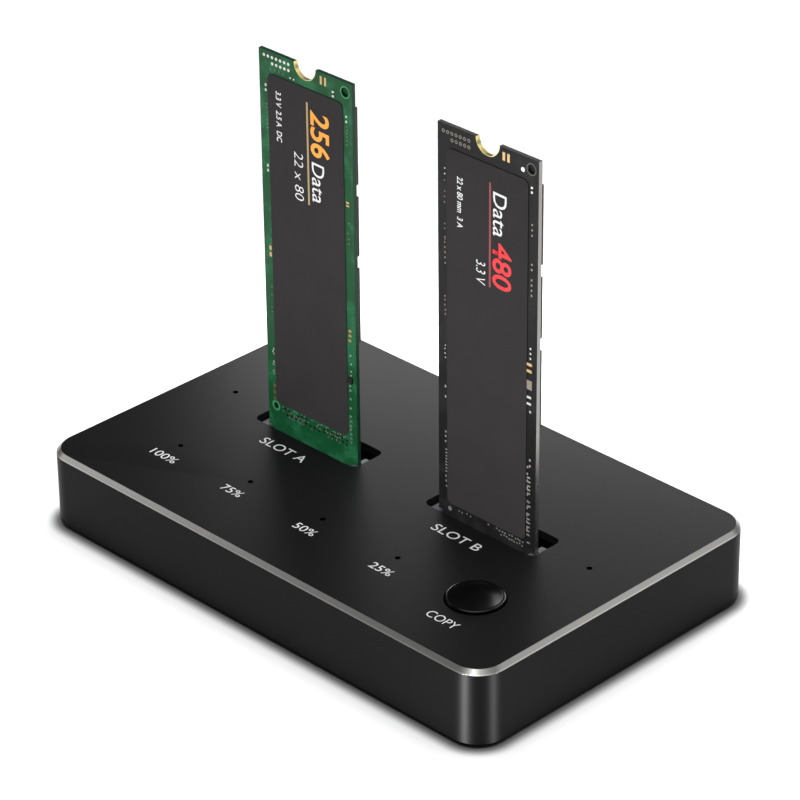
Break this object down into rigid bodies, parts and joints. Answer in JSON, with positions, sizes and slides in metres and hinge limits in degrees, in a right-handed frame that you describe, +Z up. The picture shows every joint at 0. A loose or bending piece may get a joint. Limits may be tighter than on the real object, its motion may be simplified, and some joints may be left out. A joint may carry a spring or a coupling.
{
  "type": "drive docking station",
  "caption": "Low rounded metal case on rubber feet with two upright plug-in drive cards in keyed sockets, small status lights and a round push button on top, ports at the rear.",
  "frame": {"origin": "centre of the footprint, on the surface that the rubber feet stand on", "axes": "+Z up, +X to the right seen from the front along the long side, front with the button row is -Y"},
  "size_m": [0.104, 0.066, 0.0846],
  "materials": {
    "case_anodised": "satin black anodised, bright cut bevel",
    "base_plastic": "fine moulded texture",
    "foot_rubber": "matte",
    "screw_steel": "black zinc",
    "board_laminate": "green solder mask on glass epoxy",
    "light_guide_acrylic": "clear moulded acrylic",
    "lamp_package": "moulded lens",
    "button_plastic": "polished black",
    "switch_plastic": "moulded",
    "port_steel": "nickel plated",
    "jack_plastic": "moulded",
    "package_epoxy": "moulded epoxy",
    "can_aluminium": "drawn can",
    "finger_gold": "gold plated",
    "label_film": "printed matte film",
    "ceramic_chip": "ceramic with tinned ends",
    "socket_plastic": "grey liquid-crystal polymer",
    "contact_bronze": "gold plated spring bronze",
    "green_solder_mask": "green solder mask",
    "black_solder_mask": "black solder mask"
  },
  "bodies": {
    "dock": {"housing": "case_anodised", "base_plate": "base_plastic", "rubber_feet": "foot_rubber", "base_screws": "screw_steel", "board_screws": "screw_steel", "main_board": "board_laminate", "progress_light_guide": "light_guide_acrylic", "left_status_light_guide": "light_guide_acrylic", "right_status_light_guide": "light_guide_acrylic", "indicator_leds": "lamp_package", "copy_switch_body": "switch_plastic", "copy_switch_cover": "port_steel", "copy_switch_dome": "port_steel", "data_port_shell": "port_steel", "data_port_tongue": "switch_plastic", "power_jack_body": "jack_plastic", "power_jack_pin": "port_steel", "power_switch_body": "switch_plastic", "bridge_chips": "package_epoxy", "power_coils": "package_epoxy", "board_capacitors": "can_aluminium", "crystal": "can_aluminium", "left_socket_body": "socket_plastic", "left_socket_contacts": "contact_bronze", "right_socket_body": "socket_plastic", "right_socket_contacts": "contact_bronze"},
    "copy_button": {"copy_button": "button_plastic"},
    "copy_switch_plunger": {"copy_switch_plunger": "switch_plastic"},
    "power_switch_knob": {"power_switch_knob": "jack_plastic"},
    "left_drive": {"left_drive_board": "green_solder_mask", "left_drive_fingers": "finger_gold", "left_drive_notch_plating": "finger_gold", "left_drive_label": "label_film", "left_drive_memory": "package_epoxy", "left_drive_controller": "package_epoxy", "left_drive_parts": "ceramic_chip"},
    "right_drive": {"right_drive_board": "black_solder_mask", "right_drive_fingers": "finger_gold", "right_drive_notch_plating": "finger_gold", "right_drive_label": "label_film", "right_drive_memory": "package_epoxy", "right_drive_controller": "package_epoxy", "right_drive_parts": "ceramic_chip"}
  },
  "joints": [
    {"name": "copy_button_press", "type": "slide", "parent": "dock", "child": "copy_button", "axis": [0, 0, -1], "range_m": [0, 0.00035], "stiffness_N_per_m": 700, "springref_m": -0.001},
    {"name": "copy_switch_press", "type": "slide", "parent": "dock", "child": "copy_switch_plunger", "axis": [0, 0, -1], "range_m": [0, 0.00035], "deforming": ["copy_switch_dome"]},
    {"name": "power_switch_slide", "type": "slide", "parent": "dock", "child": "power_switch_knob", "axis": [1, 0, 0], "range_m": [0, 0.0025]},
    {"name": "left_drive_lift", "type": "slide", "parent": "dock", "child": "left_drive", "axis": [0, 0, 1], "range_m": [0, 0.03]},
    {"name": "right_drive_lift", "type": "slide", "parent": "dock", "child": "right_drive", "axis": [0, 0, 1], "range_m": [0, 0.03]}
  ],
  "couplings": [
    {"joint": "copy_switch_press", "follows": "copy_button_press", "ratio": 1}
  ]
}
